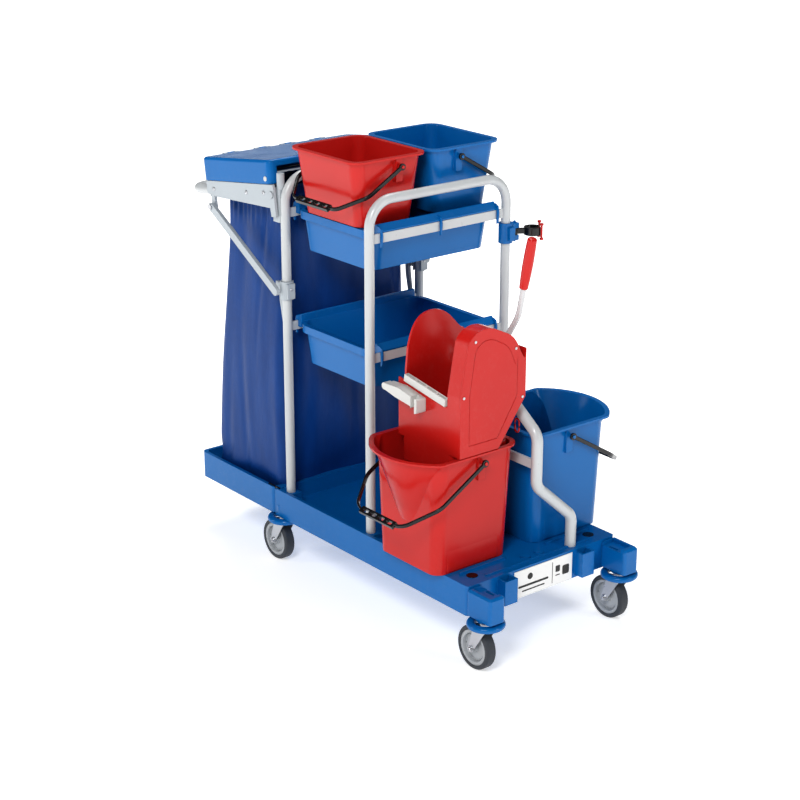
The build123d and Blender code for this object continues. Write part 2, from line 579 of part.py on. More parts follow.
def make_press_channel():
    """Straight ribbed channel lying along the hood's sloping edge."""
    run = HOUSING_X - 5 - CHANNEL_X
    fall = degrees(atan2(CHANNEL_DROP, run))
    length = hypot(run, CHANNEL_DROP)
    bar = block(0, length, PRESS_Y0 - 4, PRESS_Y0 + 8, 0, 16)
    bay = length / CHANNEL_BAYS
    for i in range(CHANNEL_BAYS):
        bar -= block(i * bay + 3, (i + 1) * bay - 3, PRESS_Y0 - 1, PRESS_Y0 + 5, 4, 20)
    return Pos(CHANNEL_X, 0, CHANNEL_Z) * Rot(0, fall, 0) * bar


def make_press_catch():
    y0 = PRESS_Y0 - 26
    outline = make_face(Polyline((PRESS_X0 - 18, 556), (PRESS_X0 - 18, 570), (PRESS_X0 + 30, 572),
                                 (PRESS_X0 + 92, 560), (PRESS_X0 + 92, 530), (PRESS_X0 + 78, 526),
                                 (PRESS_X0 + 70, 542), (PRESS_X0 + 20, 548), close=True))
    catch = across(fillet(outline.vertices(), 3), y0, PRESS_Y0 - 0.3)
    catch -= block(PRESS_X0 + 72, PRESS_X0 + 84, y0 - 1, PRESS_Y0 - 8, 520, 580)
    return catch + rod((PRESS_X0 - 18, y0, 563), (PRESS_X0 - 18, PRESS_Y0 - 8, 563), 8)


def make_press_screws():
    spots = [(-154, 704), (-41, 668), (-184, 588), (-20, 556)]
    return [rod((PRESS_X1 - 3.5, y, z), (PRESS_X1 + 1.2, y, z), 3) for y, z in spots]


def make_stand():
    x = FRONT - 22.0
    xr = FRONT - 32.0
    points = [(x, STAND_FOOT_Y, 147), (x, STAND_FOOT_Y, 262), (xr, STAND_Y, 352),
              (xr, STAND_Y, 470), (FRONT - 104, STAND_Y, 520)]
    return bent_tube(points, [34, 34, 34], STAND_R)


def make_stand_brace():
    brace = block(FRONT - 140, FRONT - 42, STAND_Y - 3, STAND_Y + 3, 390, 411)
    brace -= rod((FRONT - 32, STAND_Y, 380), (FRONT - 32, STAND_Y, 420), STAND_R)
    return brace


# ----------------------------------------------------------------- bag holder
HOLDER = Pos(PIVOT_X, 0, PIVOT_Z) * Rot(0, -HOLDER_TILT, 0)


def make_bracket():
    """Side bracket on the right, drawn level with the fold axis at the origin."""
    outline = make_face(Polyline((8, 23), (-266, 23), (-266, -6), (-228, -14), (-10, -30),
                                 (-8, -50), (10, -50), (10, 10), close=True))
    plate = across(fillet(outline.vertices().sort_by(Axis.X)[:2], 5), -216, -209.5)
    foot = across(make_face(Polyline((-262, 23), (-14, 23), (-14, 17), (-262, 17), close=True)), -210, -184)
    socket = block(-264, -214, -210, -180, -15.5, 17)
    socket -= rod((-400, -HANDLE_Y, 0), (-100, -HANDLE_Y, 0), HANDLE_R)
    hanger = across(Pos(-LINK_S, -22) * Rectangle(14, 46), -216, -209.5)
    bracket = plate + foot + socket + hanger
    bracket -= rod((-400, -HANDLE_Y, 0), (-216, -HANDLE_Y, 0), HANDLE_R)
    bracket -= rod((0, -230, 0), (0, -190, 0), 5)
    bracket -= rod((-LINK_S, -230, LINK_H), (-LINK_S, -190, LINK_H), 3.5)
    return bracket


def make_handle():
    points = [(-216, -HANDLE_Y, 0), (-HANDLE_REACH, -HANDLE_Y, 0), (-HANDLE_REACH, HANDLE_Y, 0), (-216, HANDLE_Y, 0)]
    return bent_tube(points, 46, HANDLE_R, 10.5)


def make_hinge_plate():
    """Plate behind an upright that carries the fold pin; world coordinates."""
    plate = slab(REAR_ARCH_X - 34, REAR_ARCH_X - 8, -206, -186, 842, 919, 3)
    plate += Pos(REAR_ARCH_X - 14, -197, 918) * extrude(Circle(9), 36)
    plate -= arch_tube(REAR_ARCH_X, 0)
    plate += rod((PIVOT_X, -218, PIVOT_Z), (PIVOT_X, -200, PIVOT_Z), 5 - RUN)
    cap = rod((PIVOT_X, -219.5, PIVOT_Z), (PIVOT_X, -216.4, PIVOT_Z), 8)
    return plate + cap


def make_lid():
    x0 = -LID_LENGTH
    outline = RectangleRounded(LID_LENGTH, 2 * LID_HALF, 16)
    lid = Pos(x0 / 2, 0, 24) * extrude(outline, LID_HEIGHT)
    lid = fillet(lid.faces().sort_by(Axis.Z)[-1].edges(), 7)
    inner = RectangleRounded(LID_LENGTH - 6, 2 * LID_HALF - 6, 13)
    lid -= Pos(x0 / 2, 0, 20) * extrude(inner, LID_HEIGHT + 1)
    lid -= block(-18, 5, -LID_HALF + 22, LID_HALF - 22, 20, 24 + LID_HEIGHT - 15)
    for y in LID_KNUCKLES:
        barrel = rod((LID_AXIS_X, y - 9, LID_AXIS_Z), (LID_AXIS_X, y + 9, LID_AXIS_Z), 5)
        barrel += block(LID_AXIS_X, x0 + 6, y - 9, y + 9, LID_AXIS_Z - 5, LID_AXIS_Z)
        lid += barrel
        lid -= rod((LID_AXIS_X, y - 10, LID_AXIS_Z), (LID_AXIS_X, y + 10, LID_AXIS_Z), 2.5 + RUN)
    return lid


def make_hinge_rail():
    x = LID_AXIS_X
    rail = block(x - 4, x + 1, -200, 200, 17, LID_AXIS_Z - 7)
    rail += block(x - 4, -262, -200, 200, 17, 21)
    for y in LID_KNUCKLES:
        for end in (-1, 1):
            mid = y + end * 16
            ear = block(x - 4, x + 2, mid - 6, mid + 6, LID_AXIS_Z - 8, LID_AXIS_Z)
            ear += rod((x, mid - 6, LID_AXIS_Z), (x, mid + 6, LID_AXIS_Z), 5)
            rail += ear - rod((x, mid - 7, LID_AXIS_Z), (x, mid + 7, LID_AXIS_Z), 2.5)
    return rail


def make_hinge_pin():
    return rod((LID_AXIS_X, -146, LID_AXIS_Z), (LID_AXIS_X, 146, LID_AXIS_Z), 2.5)


def make_bag_frame():
    points = [(-8, -176, 8), (-250, -176, 8), (-250, 176, 8), (-8, 176, 8), (-8, -176, 8)]
    frame = None
    for a, b in zip(points, points[1:]):
        bar = rod(a, b, 4)
        frame = bar if frame is None else frame + bar
    for x, y, z in points[:4]:
        frame += Pos(x, y, z) * Sphere(4)
    for x in (-60, -200):
        for side in (-1, 1):
            frame += rod((x, side * 176, 8), (x, side * 188, 20), 3)
    for side in (-1, 1):
        frame -= block(-300, 0, side * 184, side * 215, 10, 30)
        frame -= block(-300, 0, side * 170, side * 215, 17, 30)
    return frame


def make_strut():
    mid = ((LINK_X + COLLAR_PIN_X) / 2, (LINK_Z + COLLAR_Z) / 2)
    bar = Pos(*mid) * Rot(0, 0, degrees(STRUT_REST)) * SlotCenterToCenter(STRUT_LENGTH, 19)
    strut = across(bar, -226, -217)
    strut -= rod((LINK_X, -230, LINK_Z), (LINK_X, -190, LINK_Z), 3.5 + RUN)
    return strut


def make_link_pins():
    pin = rod((LINK_X, -228, LINK_Z), (LINK_X, -207, LINK_Z), 3.5)
    pin += rod((LINK_X, -229.5, LINK_Z), (LINK_X, -226.4, LINK_Z), 6.5)
    return [pin, mirrored(pin)]


def make_collar():
    ring = Pos(REAR_ARCH_X, -LEG_Y, COLLAR_Z - 21) * extrude(Circle(15.5), 43)
    lug = block(REAR_ARCH_X - 40, REAR_ARCH_X - 10, -198.5, -191, COLLAR_Z - 16, COLLAR_Z + 14)
    plate = block(REAR_ARCH_X + 12, REAR_ARCH_X + 19, -206, -186, COLLAR_Z - 18, COLLAR_Z + 18)
    collar = ring + lug + plate
    collar -= Pos(REAR_ARCH_X, -LEG_Y, COLLAR_Z - 60) * extrude(Circle(TUBE_R + 0.4), 120)
    collar -= block(REAR_ARCH_X - 6, REAR_ARCH_X + 6, -LEG_Y, -170, COLLAR_Z - 60, COLLAR_Z + 60)
    return collar + rod((LATCH_X, -198, LATCH_Z), (LATCH_X, -182, LATCH_Z), LATCH_PIN_R)


def make_latch():
    outline = make_face(Polyline((LATCH_X - 6, LATCH_Z + 10), (LATCH_X + 6, LATCH_Z + 10),
                                 (LATCH_X + 8, LATCH_Z - 20), (LATCH_X + 16, LATCH_Z - 74),
                                 (LATCH_X + 8, LATCH_Z - 80), (LATCH_X - 4, LATCH_Z - 24), close=True))
    lever = across(fillet(outline.vertices(), 2.5), -190.4, -183)
    return lever - rod((LATCH_X, -195, LATCH_Z), (LATCH_X, -180, LATCH_Z), LATCH_PIN_R + RUN)


# ------------------------------------------------------------------ mop clip


def make_clip_collar():
    ring = Pos(FRONT_ARCH_X, LEG_Y, CLIP_Z - 22) * extrude(Circle(16.5), 46)
    ring += block(FRONT_ARCH_X - 9, FRONT_ARCH_X + 9, LEG_Y + 10, LEG_Y + CLIP_OUT + 6, CLIP_Z - 20, CLIP_Z - 8)
    ring += block(FRONT_ARCH_X - 9, FRONT_ARCH_X + 9, LEG_Y + 10, LEG_Y + CLIP_OUT + 6, CLIP_Z + 8, CLIP_Z + 20)
    ring += block(FRONT_ARCH_X + 10, FRONT_ARCH_X + 24, LEG_Y - 8, LEG_Y + 8, CLIP_Z - 14, CLIP_Z + 16)
    ring -= Pos(FRONT_ARCH_X, LEG_Y, CLIP_Z - 40) * extrude(Circle(TUBE_R), 80)
    pin_y = LEG_Y + CLIP_OUT
    return ring + rod((FRONT_ARCH_X, pin_y, CLIP_Z - 24), (FRONT_ARCH_X, pin_y, CLIP_Z + 24), 3)


def make_clip_arm():
    """Swivelling arm ending in a pair of jaws, drawn pointing straight out."""
    arm = Pos(0, 0, -7) * extrude(Circle(7.5), 14)
    arm += block(-5, 5, 3, 26, -6, 6)
    jaw = Pos(0, 42, -9) * extrude(Circle(20) - Circle(CLIP_MOUTH_R), 18)
    jaw -= block(-9, 9, 45, 70, -10, 10)
    arm += jaw
    arm -= Pos(0, 0, -20) * extrude(Circle(3 + RUN), 40)
    return CLIP_PLACE * arm

CLIP_PLACE = Pos(FRONT_ARCH_X, LEG_Y + CLIP_OUT, CLIP_Z) * Rot(0, 0, -CLIP_TURN)


def make_clip_roller():
    rollers = []
    for side in (-1, 1):
        roller = Pos(side * 14.5, 60, -16) * extrude(Circle(2.5), 32)
        roller += Pos(side * 14.5, 60, -19) * extrude(Circle(4.5), 4)
        roller += Pos(side * 14.5, 60, 15) * extrude(Circle(4.5), 4)
        rollers.append(CLIP_PLACE * roller)
    return rollers


# -------------------------------------------------------------------- castors
def make_fork(x, y):
    wheel_x = x - CASTOR_TRAIL
    plate = Pos(x, y, FORK_PLATE_Z) * extrude(Circle(21), 4)
    leg = make_hull((Pos(x - 4, FORK_PLATE_Z - 1) * Rectangle(34, 5)).edges()
                    + (Pos(wheel_x, WHEEL_R) * Circle(8)).edges())
    fork = plate
    for side in (-1, 1):
        fork += across(leg, y + side * 15.2, y + side * 17.6)
        fork += block(x - 21, x + 13, y + side * 14, y + side * 17.6, FORK_PLATE_Z, FORK_PLATE_Z + 3)
    fork += rod((wheel_x, y - 18, WHEEL_R), (wheel_x, y + 18, WHEEL_R), AXLE_R)
    for side in (-1, 1):
        fork += rod((wheel_x, y + side * 17, WHEEL_R), (wheel_x, y + side * 21, WHEEL_R), 6.5)
    return fork - Pos(x, y, FORK_PLATE_Z - 5) * extrude(Circle(STEM_R + RUN), 20)


def make_wheel(x, y):
    half = TREAD_WIDTH / 2
    profile = Polyline((AXLE_R + RUN, -half - 1.5), (10, -half - 1.5), (12, -5), (31, -4), (33, -half + 1.5),
                       (TYRE_INNER, -half + 1.5), (TYRE_INNER, half - 1.5), (33, half - 1.5), (31, 4),
                       (12, 5), (10, half + 1.5), (AXLE_R + RUN, half + 1.5), close=True)
    wheel = revolve(make_face(profile), Axis.Y)
    return Pos(x - CASTOR_TRAIL, y, WHEEL_R) * wheel


def make_tyre(x, y):
    half = TREAD_WIDTH / 2
    outline = make_face(Polyline((TYRE_INNER, -half), (WHEEL_R, -half), (WHEEL_R, half), (TYRE_INNER, half),
                                 close=True))
    outer = outline.vertices().sort_by(Axis.X)[-2:]
    tyre = revolve(fillet(outer, 5), Axis.Y)
    return Pos(x - CASTOR_TRAIL, y, WHEEL_R) * tyre


# ---------------------------------------------------------------- the bag
def make_bag():
    """Plain closed solid of the hanging bag; world coordinates."""
    low = Pos(FRONT - 858, 0, WELL_FLOOR + 1) * RectangleRounded(270, 380, 18)
    waist = Pos(FRONT - 852, 0, 420) * RectangleRounded(264, 376, 18)
    high = Pos(FRONT - 824, 0, BAG_TOP) * RectangleRounded(236, 346, 18)
    return loft([low, waist]) + loft([waist, high])


# ------------------------------------------------------------------- writing
save("platform", make_platform())
save("bag_tray", make_bag_tray())
save("deck_trim", *make_deck_trim())
save("label_plate", slab(FRONT + 0.1, FRONT + 2.1, -86, 86, 121, 185, 0.9))
save("castor_bumpers", *make_castor_bumpers())
save("castor_stems", *make_castor_stems())

save("front_arch", arch_tube(FRONT_ARCH_X, TUBE_BORE))
save("rear_arch", arch_tube(REAR_ARCH_X, TUBE_BORE))
save("tray_rails", *make_rails())
save("upper_tray", make_tray(UPPER_RAIL_Z))
save("lower_tray", make_tray(LOWER_RAIL_Z))

big = make_big_bucket()
for name, side in SIDES.items():
    save(f"small_bucket_{name}", make_small_bucket(side))
    save(f"big_bucket_{name}", sided(mirrored(big), side) if side < 0 else big)
    save(f"small_bail_{name}", make_bail(TRAY_MID_X, SMALL_RIM_X / 2 + BAIL_CLEAR, SMALL_CENTRE_Y + SMALL_BAIL_OUT,
                                         SMALL_BAIL_Z, SMALL_BAIL_REACH, SMALL_BAIL_DROOP, SMALL_PIN_R, side))
    save(f"big_bail_{name}", make_bail((BIG_X0 + BIG_X1) / 2, (BIG_X1 - BIG_X0) / 2 + BAIL_CLEAR, BIG_BAIL_Y,
                                       BIG_BAIL_Z, BIG_BAIL_REACH, BIG_BAIL_DROOP, BIG_PIN_R, side))
    save(f"strut_{name}", sided(make_strut(), side))
    save(f"collar_{name}", sided(make_collar(), side))
    save(f"latch_lever_{name}", sided(make_latch(), side))
    save(f"bracket_{name}", HOLDER * sided(make_bracket(), side))
    for end, castor_x in (("front", FRONT_CASTOR_X), ("rear", REAR_CASTOR_X)):
        castor_y = side * CASTOR_Y
        save(f"castor_fork_{end}_{name}", make_fork(castor_x, castor_y))
        save(f"castor_wheel_{end}_{name}", make_wheel(castor_x, castor_y))
        save(f"castor_tyre_{end}_{name}", make_tyre(castor_x, castor_y))

save("press_body", make_press_body())
save("press_cover", make_press_cover())
save("press_jaw", make_jaw())
save("press_lever", make_lever_tube(), make_lever_shaft())
save("lever_grip", make_lever_grip())
save("press_link", make_press_link())
save("jaw_knobs", *make_jaw_knobs())
save("press_channel", make_press_channel())
save("press_catch", make_press_catch())
save("press_screws", *make_press_screws())
save("press_stand", make_stand(), make_stand_brace())

save("hinge_plates", make_hinge_plate(), mirrored(make_hinge_plate()))
save("push_handle", HOLDER * make_handle())
save("lid", HOLDER * make_lid())
save("lid_rail", HOLDER * make_hinge_rail())
save("bag_frame", HOLDER * make_bag_frame())
save("holder_pins", *make_link_pins(), HOLDER * make_hinge_pin())
save("bag", make_bag())

save("clip_collar", make_clip_collar())
save("clip_arm", make_clip_arm())
save("clip_rollers", *make_clip_roller())

print("strut swing", round(degrees(STRUT_FOLDED - STRUT_REST), 3), "collar travel", round(COLLAR_TRAVEL, 3))
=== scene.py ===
import json
import math
import random

import bmesh
import bpy
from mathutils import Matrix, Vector


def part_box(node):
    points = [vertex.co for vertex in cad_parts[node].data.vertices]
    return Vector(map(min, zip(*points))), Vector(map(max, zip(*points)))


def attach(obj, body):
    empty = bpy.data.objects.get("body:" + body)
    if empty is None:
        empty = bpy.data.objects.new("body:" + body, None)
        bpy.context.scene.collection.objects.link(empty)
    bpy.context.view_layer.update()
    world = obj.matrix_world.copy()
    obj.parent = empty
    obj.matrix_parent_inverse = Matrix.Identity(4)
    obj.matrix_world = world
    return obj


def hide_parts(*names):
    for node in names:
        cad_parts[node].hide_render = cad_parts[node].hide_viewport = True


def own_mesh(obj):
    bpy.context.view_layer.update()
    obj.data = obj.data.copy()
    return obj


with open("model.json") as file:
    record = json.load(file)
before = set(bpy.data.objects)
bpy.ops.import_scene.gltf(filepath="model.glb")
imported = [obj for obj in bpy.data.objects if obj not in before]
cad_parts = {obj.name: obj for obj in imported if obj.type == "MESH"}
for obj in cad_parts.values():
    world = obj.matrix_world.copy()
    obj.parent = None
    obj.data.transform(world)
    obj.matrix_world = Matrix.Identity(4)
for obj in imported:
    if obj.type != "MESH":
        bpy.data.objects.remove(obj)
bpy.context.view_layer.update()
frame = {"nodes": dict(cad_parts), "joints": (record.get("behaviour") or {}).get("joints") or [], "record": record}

scene = bpy.context.scene
nodes = frame["nodes"]
record = frame["record"]
joints = {j["name"]: j for j in frame["joints"]}

# ------------------------------------------------------------------ camera
CAMERA_AT = Vector((3.1563, -2.5502, 1.8787))
CAMERA_AZIMUTH = math.radians(51.16)
CAMERA_DIP = math.radians(19.72)
CAMERA_LENS = 83.5
SENSOR_WIDTH = 36.0


def make_camera():
    data = bpy.data.cameras.new("camera")
    data.sensor_width = SENSOR_WIDTH
    data.lens = CAMERA_LENS
    data.clip_start = 0.1
    data.clip_end = 100.0
    camera = bpy.data.objects.new("camera", data)
    scene.collection.objects.link(camera)
    forward = Vector((-math.sin(CAMERA_AZIMUTH) * math.cos(CAMERA_DIP),
                      math.cos(CAMERA_AZIMUTH) * math.cos(CAMERA_DIP),
                      -math.sin(CAMERA_DIP)))
    camera.location = CAMERA_AT
    camera.rotation_mode = "QUATERNION"
    camera.rotation_quaternion = forward.to_track_quat("-Z", "Y")
    scene.camera = camera


make_camera()


# --------------------------------------------------------------- materials
MOULD_RADIUS = 0.0014     # rounding of the edges in the shading of plastic and of metal
METAL_RADIUS = 0.0006
THREADS = 330.0           # scale of the weave
SHARP_NODE = math.radians(32)


def new_material(name):
    """A node material, its tree and its main shader."""
    m = bpy.data.materials.new(name)
    m.use_nodes = True
    tree = m.node_tree
    return m, tree, tree.nodes["Principled BSDF"]


def add(tree, kind, **values):
    """A new node, with its sockets and settings given by name."""
    n = tree.nodes.new(kind)
    for key, value in values.items():
        if key in n.inputs:
            n.inputs[key].default_value = value
        else:
            setattr(n, key, value)
    return n


def rgba(c):
    return (c[0], c[1], c[2], 1.0)


def noise(tree, scale, detail=2.0, rough=0.5, stretch=None):
    """Noise in object space, optionally stretched along the axes."""
    coord = add(tree, "ShaderNodeTexCoord")
    n = add(tree, "ShaderNodeTexNoise", Scale=scale, Detail=detail, Roughness=rough)
    if stretch:
        mapping = add(tree, "ShaderNodeMapping", Scale=stretch)
        tree.links.new(coord.outputs["Object"], mapping.inputs["Vector"])
        tree.links.new(mapping.outputs["Vector"], n.inputs["Vector"])
    else:
        tree.links.new(coord.outputs["Object"], n.inputs["Vector"])
    return n


def ramp(tree, source, stops):
    """Colour ramp with (place, colour or level) stops."""
    r = add(tree, "ShaderNodeValToRGB")
    for i, (at, c) in enumerate(stops):
        stop = r.color_ramp.elements[i] if i < 2 else r.color_ramp.elements.new(at)
        stop.position = at
        stop.color = rgba(c) if hasattr(c, "__len__") else (c, c, c, 1.0)
    tree.links.new(source, r.inputs["Fac"])
    return r.outputs["Color"]


def bump(tree, shader, height, strength, distance, after=None):
    """Bump layer on the shader, laid over an earlier normal if one is given."""
    b = add(tree, "ShaderNodeBump", Strength=strength, Distance=distance)
    tree.links.new(height, b.inputs["Height"])
    if after is not None:
        tree.links.new(after.outputs["Normal"], b.inputs["Normal"])
    tree.links.new(b.outputs["Normal"], shader.inputs["Normal"])
    return b


def edge_tint(tree, colour, lighter, amount):
    """Mixes a lighter tone in where edges are scuffed."""
    geometry = add(tree, "ShaderNodeNewGeometry")
    edge = ramp(tree, geometry.outputs["Pointiness"], [(0.53, 0.0), (0.62, 1.0)])
    patch = noise(tree, 60.0, 5.0, 0.7)
    broken = ramp(tree, patch.outputs["Fac"], [(0.50, 0.0), (0.66, amount)])
    product = add(tree, "ShaderNodeMath", operation="MULTIPLY")
    tree.links.new(edge, product.inputs[0])
    tree.links.new(broken, product.inputs[1])
    mix = add(tree, "ShaderNodeMix", data_type="RGBA")
    tree.links.new(product.outputs["Value"], mix.inputs["Factor"])
    tree.links.new(colour, mix.inputs["A"])
    mix.inputs["B"].default_value = rgba(lighter)
    return mix.outputs["Result"]


def soft_edges(tree, radius):
    """Rounds the shading over moulded edges by a small radius."""
    return add(tree, "ShaderNodeBevel", samples=4, Radius=radius)


def plastic(name, colour, gloss, grain=1.0, wear=0.04, specular=0.32):
    """Moulded plastic: faint flow marks in the pigment, wandering sheen, cast grain and fine scratches."""
    m, tree, shader = new_material(name)
    dark = [c * 0.93 for c in colour]
    light = [min(1.0, c * 1.04 + 0.001) for c in colour]
    cloud = noise(tree, 3.5, 3.0, 0.5)
    body = ramp(tree, cloud.outputs["Fac"], [(0.3, dark), (0.7, light)])
    pale = [min(1.0, c * 0.7 + 0.22) for c in colour]
    tree.links.new(edge_tint(tree, body, pale, wear), shader.inputs["Base Color"])
    sheen = noise(tree, 16.0, 3.0, 0.6)
    tree.links.new(ramp(tree, sheen.outputs["Fac"], [(0.3, gloss - 0.03), (0.7, gloss + 0.04)]),
                   shader.inputs["Roughness"])
    scratch = noise(tree, 1.0, 2.0, 0.5, (18.0, 240.0, 240.0))
    fine = noise(tree, 1100.0, 2.0, 0.5)
    coarse = noise(tree, 7.0, 1.0, 0.4)
    first = bump(tree, shader, coarse.outputs["Fac"], 0.06, 0.0006, soft_edges(tree, MOULD_RADIUS))
    second = bump(tree, shader, scratch.outputs["Fac"], 0.04, 0.0002, first)
    bump(tree, shader, fine.outputs["Fac"], 0.06 * grain, 0.0002, second)
    shader.inputs["IOR"].default_value = 1.49
    shader.inputs["Specular IOR Level"].default_value = specular
    return m


def metal(name, colour, rough, brushed=True, metallic=1.0, orange_peel=0.0):
    """Bare, plated or powder-coated steel."""
    m, tree, shader = new_material(name)
    spread = noise(tree, 9.0, 4.0, 0.6)
    body = ramp(tree, spread.outputs["Fac"], [(0.3, [c * 0.95 for c in colour]), (0.7, colour)])
    tree.links.new(body, shader.inputs["Base Color"])
    shader.inputs["Metallic"].default_value = metallic
    stretch = (60.0, 900.0, 60.0) if brushed else None
    streak = noise(tree, 1.0 if brushed else 60.0, 3.0, 0.6, stretch)
    tree.links.new(ramp(tree, streak.outputs["Fac"], [(0.3, rough - 0.03), (0.7, rough + 0.05)]),
                   shader.inputs["Roughness"])
    if orange_peel:
        peel = noise(tree, 420.0, 2.0, 0.5)
        bump(tree, shader, peel.outputs["Fac"], orange_peel, 0.0004)
        shader.inputs["Coat Weight"].default_value = 0.4
        shader.inputs["Coat Roughness"].default_value = 0.14
    else:
        bump(tree, shader, streak.outputs["Fac"], 0.08, 0.0003, soft_edges(tree, METAL_RADIUS))
    return m


def weave_lines(tree):
    """Crossed threads that show on every face, whichever way it points."""
    coord = add(tree, "ShaderNodeTexCoord")
    waves = []
    for axis in ("X", "Y", "Z"):
        wave = add(tree, "ShaderNodeTexWave", wave_type="BANDS", bands_direction=axis, Scale=THREADS,
                   Distortion=0.5, Detail=1.0)
        tree.links.new(coord.outputs["Object"], wave.inputs["Vector"])
        waves.append(wave)
    level = add(tree, "ShaderNodeMath", operation="ADD")
    tree.links.new(waves[0].outputs["Fac"], level.inputs[0])
    tree.links.new(waves[1].outputs["Fac"], level.inputs[1])
    cross = add(tree, "ShaderNodeMath", operation="MULTIPLY")
    tree.links.new(level.outputs["Value"], cross.inputs[0])
    tree.links.new(waves[2].outputs["Fac"], cross.inputs[1])
    return cross.outputs["Value"]


def fabric(name, colour, light):
    """Coated woven cloth: crossed threads, faint slubs, fine wrinkles and a soft sheen."""
    m, tree, shader = new_material(name)
    weave = weave_lines(tree)
    slub = noise(tree, 20.0, 5.0, 0.6, (1.0, 1.0, 0.3))
    tone = ramp(tree, slub.outputs["Fac"], [(0.3, colour), (0.72, light)])
    shade = add(tree, "ShaderNodeMix", data_type="RGBA", blend_type="MULTIPLY")
    shade.inputs["Factor"].default_value = 0.16
    tree.links.new(tone, shade.inputs["A"])
    tree.links.new(ramp(tree, weave, [(0.0, 0.6), (0.9, 1.0)]), shade.inputs["B"])
    tree.links.new(shade.outputs["Result"], shader.inputs["Base Color"])
    shader.inputs["Roughness"].default_value = 0.42
    shader.inputs["Specular IOR Level"].default_value = 0.22
    wrinkle = noise(tree, 14.0, 4.0, 0.55, (1.0, 1.0, 0.22))
    creases = noise(tree, 46.0, 3.0, 0.6, (1.0, 1.0, 0.5))
    first = bump(tree, shader, wrinkle.outputs["Fac"], 0.35, 0.006)
    second = bump(tree, shader, creases.outputs["Fac"], 0.18, 0.0015, first)
    bump(tree, shader, weave, 0.12, 0.00025, second)
    return m


BLUE = (0.0, 0.132, 0.395)
RED = (0.50, 0.015, 0.012)
MATERIALS = {
    "blue_plastic": plastic("blue_plastic", BLUE, 0.22),
    "red_plastic": plastic("red_plastic", RED, 0.20),
    "painted_tube": metal("painted_tube", (0.50, 0.52, 0.53), 0.30, False, 0.0, 0.10),
    "light_grey_plastic": plastic("light_grey_plastic", (0.42, 0.46, 0.49), 0.36, wear=0.06),
    "white_plastic": plastic("white_plastic", (0.62, 0.62, 0.60), 0.30, wear=0.03),
    "black_plastic": plastic("black_plastic", (0.006, 0.006, 0.007), 0.20, wear=0.02, specular=0.45),
    "bag_fabric": fabric("bag_fabric", (0.002, 0.040, 0.185), (0.003, 0.055, 0.240)),
    "zinc_steel": metal("zinc_steel", (0.52, 0.53, 0.55), 0.30),
    "lever_chrome": metal("lever_chrome", (0.56, 0.56, 0.57), 0.20, False, 0.10),
    "wheel_grey": plastic("wheel_grey", (0.40, 0.42, 0.44), 0.42, wear=0.08),
    "tyre_grey": plastic("tyre_grey", (0.050, 0.056, 0.066), 0.55, grain=2.5, wear=0.15),
    "label_film": plastic("label_film", (0.78, 0.78, 0.77), 0.22, wear=0.0),
}


def finish_nodes():
    """Every CAD node takes the material of its slot and smooth shading up to its edges."""
    for part in record["subparts"]:
        node = nodes[part["node"]]
        node.data.materials.clear()
        node.data.materials.append(MATERIALS[part["material_slot"]])
        for polygon in node.data.polygons:
            polygon.material_index = 0
            polygon.use_smooth = True
        node.data.set_sharp_from_angle(angle=SHARP_NODE)


finish_nodes()


def piece(name, vertices, faces, slot, body, smooth=True, replaces=()):
    """A new mesh piece that rides on a body."""
    mesh = bpy.data.meshes.new(name)
    mesh.from_pydata([tuple(v) for v in vertices], [], faces)
    mesh.validate()
    mesh.materials.append(MATERIALS[slot])
    for polygon in mesh.polygons:
        polygon.use_smooth = smooth
    obj = bpy.data.objects.new(name, mesh)
    scene.collection.objects.link(obj)
    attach(obj, body)
    if replaces:
        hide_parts(*replaces)
    return obj


def tidy_mesh(obj):
    """Merge doubles and turn every face outwards."""
    bm = bmesh.new()
    bm.from_mesh(obj.data)
    bmesh.ops.remove_doubles(bm, verts=bm.verts, dist=1e-6)
    bmesh.ops.recalc_face_normals(bm, faces=bm.faces)
    bm.to_mesh(obj.data)
    bm.free()


# --------------------------------------------------------------------- bag
FOLD_AXIS = Vector(joints["bag_holder_fold"]["pos_m"])
TILT = math.radians(8.0)  # the holder hangs this much lower at its push handle
FRAME_LEVEL = 0.008       # wire above the fold's axis, in the holder's own frame
WIRE = (-0.129, 0.121, 0.176)    # the wire loop's middle, half length and half width
WIRE_GAP = 0.0058         # wire's centre line to the gathered cloth inside it
CLOTH_THICK = 0.0009
AROUND = 420
LEVELS = 110
FOLD_COUNT = 26
FOLD_SEED = 11
GATHERS = 58


def on_holder(x, y, z):
    """A point given in the holder's own level frame."""
    return Vector((FOLD_AXIS.x + x * math.cos(TILT) - z * math.sin(TILT), y,
                   FOLD_AXIS.z + x * math.sin(TILT) + z * math.cos(TILT)))


def loop_point(u, cx, hx, hy, r):
    """Point at share u of a rounded rectangle, with its outward normal."""
    straight_x = 2 * (hx - r)
    straight_y = 2 * (hy - r)
    arc = math.pi * r / 2
    s = (u % 1.0) * (2 * straight_x + 2 * straight_y + 4 * arc)
    runs = [(straight_y, (hx, -hy + r), (0, 1), (1, 0)), (arc, (hx - r, hy - r), 0.0, None),
            (straight_x, (hx - r, hy), (-1, 0), (0, 1)), (arc, (-hx + r, hy - r), math.pi / 2, None),
            (straight_y, (-hx, hy - r), (0, -1), (-1, 0)), (arc, (-hx + r, -hy + r), math.pi, None),
            (straight_x, (-hx + r, -hy), (1, 0), (0, -1)), (arc, (hx - r, -hy + r), 1.5 * math.pi, None)]
    for length, at, way, normal in runs:
        if s <= length:
            if normal is None:
                a = way + s / r
                n = (math.cos(a), math.sin(a))
                return cx + at[0] + r * n[0], at[1] + r * n[1], n
            return cx + at[0] + way[0] * s, at[1] + way[1] * s, normal
        s -= length
    return cx + hx, -hy + r, (1, 0)


